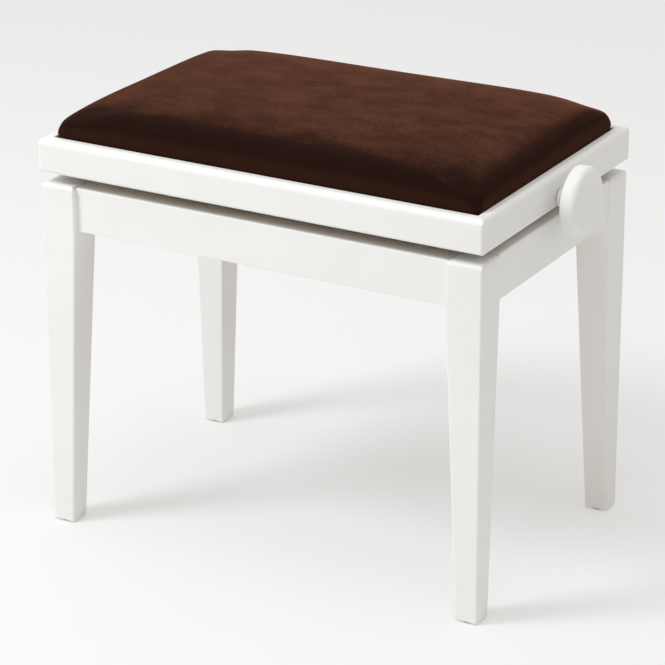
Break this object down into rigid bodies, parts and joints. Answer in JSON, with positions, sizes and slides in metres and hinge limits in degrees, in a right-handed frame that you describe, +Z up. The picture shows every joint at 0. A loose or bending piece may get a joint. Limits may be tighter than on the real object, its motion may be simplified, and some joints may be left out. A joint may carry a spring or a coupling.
{
  "type": "piano stool",
  "caption": "Height-adjustable piano stool with tapered square legs, a mitred white seat tray, a crowned brown velour cushion, and a side knob that drives a scissor lift.",
  "frame": {"origin": "on the floor, below the middle of the overall box with the knob included", "axes": "+X along the seat towards the knob, +Y to the back, +Z up"},
  "size_m": [0.575, 0.35, 0.491],
  "materials": {
    "white_lacquer": "satin",
    "plain_beech": "matte",
    "plywood": "matte",
    "velour": "matte",
    "foam": "matte",
    "glide_plastic": "matte",
    "brass": "satin",
    "black_steel": "satin",
    "zinc_steel": "satin"
  },
  "bodies": {
    "base": {"apron_back": "white_lacquer", "apron_dowels": "plain_beech", "apron_front": "white_lacquer", "apron_left": "white_lacquer", "apron_right": "white_lacquer", "corner_block_back_left": "plain_beech", "corner_block_back_right": "plain_beech", "corner_block_front_left": "plain_beech", "corner_block_front_right": "plain_beech", "corner_block_screws": "zinc_steel", "cross_rail_dowels": "plain_beech", "cross_rail_left": "plain_beech", "cross_rail_right": "plain_beech", "foot_glides": "glide_plastic", "leg_back_left": "white_lacquer", "leg_back_right": "white_lacquer", "leg_bolt_nuts": "zinc_steel", "leg_bolt_washers": "zinc_steel", "leg_bolts": "zinc_steel", "leg_front_left": "white_lacquer", "leg_front_right": "white_lacquer", "lower_pivot_pins": "zinc_steel", "lower_rail_back": "black_steel", "lower_rail_front": "black_steel", "lower_rail_screws": "zinc_steel"},
    "seat": {"tray_rail_front": "white_lacquer", "tray_rail_back": "white_lacquer", "tray_rail_left": "white_lacquer", "tray_rail_right": "white_lacquer", "mitre_splines": "plywood", "tray_ledge_front": "plain_beech", "tray_ledge_back": "plain_beech", "ledge_screws": "zinc_steel", "seat_screws": "zinc_steel", "seat_board": "plywood", "seat_foam": "foam", "seat_cover": "velour", "cover_staples": "zinc_steel", "upper_rail_front": "black_steel", "upper_rail_back": "black_steel", "lift_screws": "zinc_steel", "upper_pivot_pins": "zinc_steel", "spindle_bush": "brass", "spindle_bracket": "black_steel"},
    "spindle": {"spindle": "zinc_steel", "thrust_collar": "zinc_steel", "collar_screw": "zinc_steel", "knob": "white_lacquer", "knob_insert": "brass", "knob_pin": "zinc_steel"},
    "traveller": {"traveller_bar": "zinc_steel", "traveller_clips": "zinc_steel"},
    "arms_a": {"lift_arm_a_front": "black_steel", "lift_arm_a_back": "black_steel", "centre_rod": "zinc_steel", "centre_rod_clips": "zinc_steel"},
    "arms_b": {"lift_arm_b_front": "black_steel", "lift_arm_b_back": "black_steel", "slide_rod": "zinc_steel", "slide_rod_clips": "zinc_steel"}
  },
  "joints": [
    {"name": "seat_lift", "type": "slide", "parent": "base", "child": "seat", "axis": [0, 0, 1], "range_m": [0, 0.095]},
    {"name": "spindle_turn", "type": "hinge", "parent": "seat", "child": "spindle", "pos_m": [-0.0175, 0, 0.425], "axis": [1, 0, 0], "range_deg": [0, 2854]},
    {"name": "traveller_slide", "type": "slide", "parent": "seat", "child": "traveller", "axis": [1, 0, 0], "range_m": [-0.0238, 0]},
    {"name": "arms_a_swing", "type": "hinge", "parent": "base", "child": "arms_a", "pos_m": [-0.2075, 0, 0.381], "axis": [0, -1, 0], "range_deg": [0, 14.81]},
    {"name": "arms_b_swing", "type": "hinge", "parent": "seat", "child": "arms_b", "pos_m": [-0.2075, 0, 0.425], "axis": [0, 1, 0], "range_deg": [0, 14.81]}
  ],
  "couplings": [
    {"joint": "spindle_turn", "follows": "seat_lift", "rad_per_m": 524.24},
    {"joint": "traveller_slide", "follows": "seat_lift", "ratio": -0.2503},
    {"joint": "arms_a_swing", "follows": "seat_lift", "rad_per_m": 2.7203},
    {"joint": "arms_b_swing", "follows": "seat_lift", "rad_per_m": 2.7203}
  ]
}
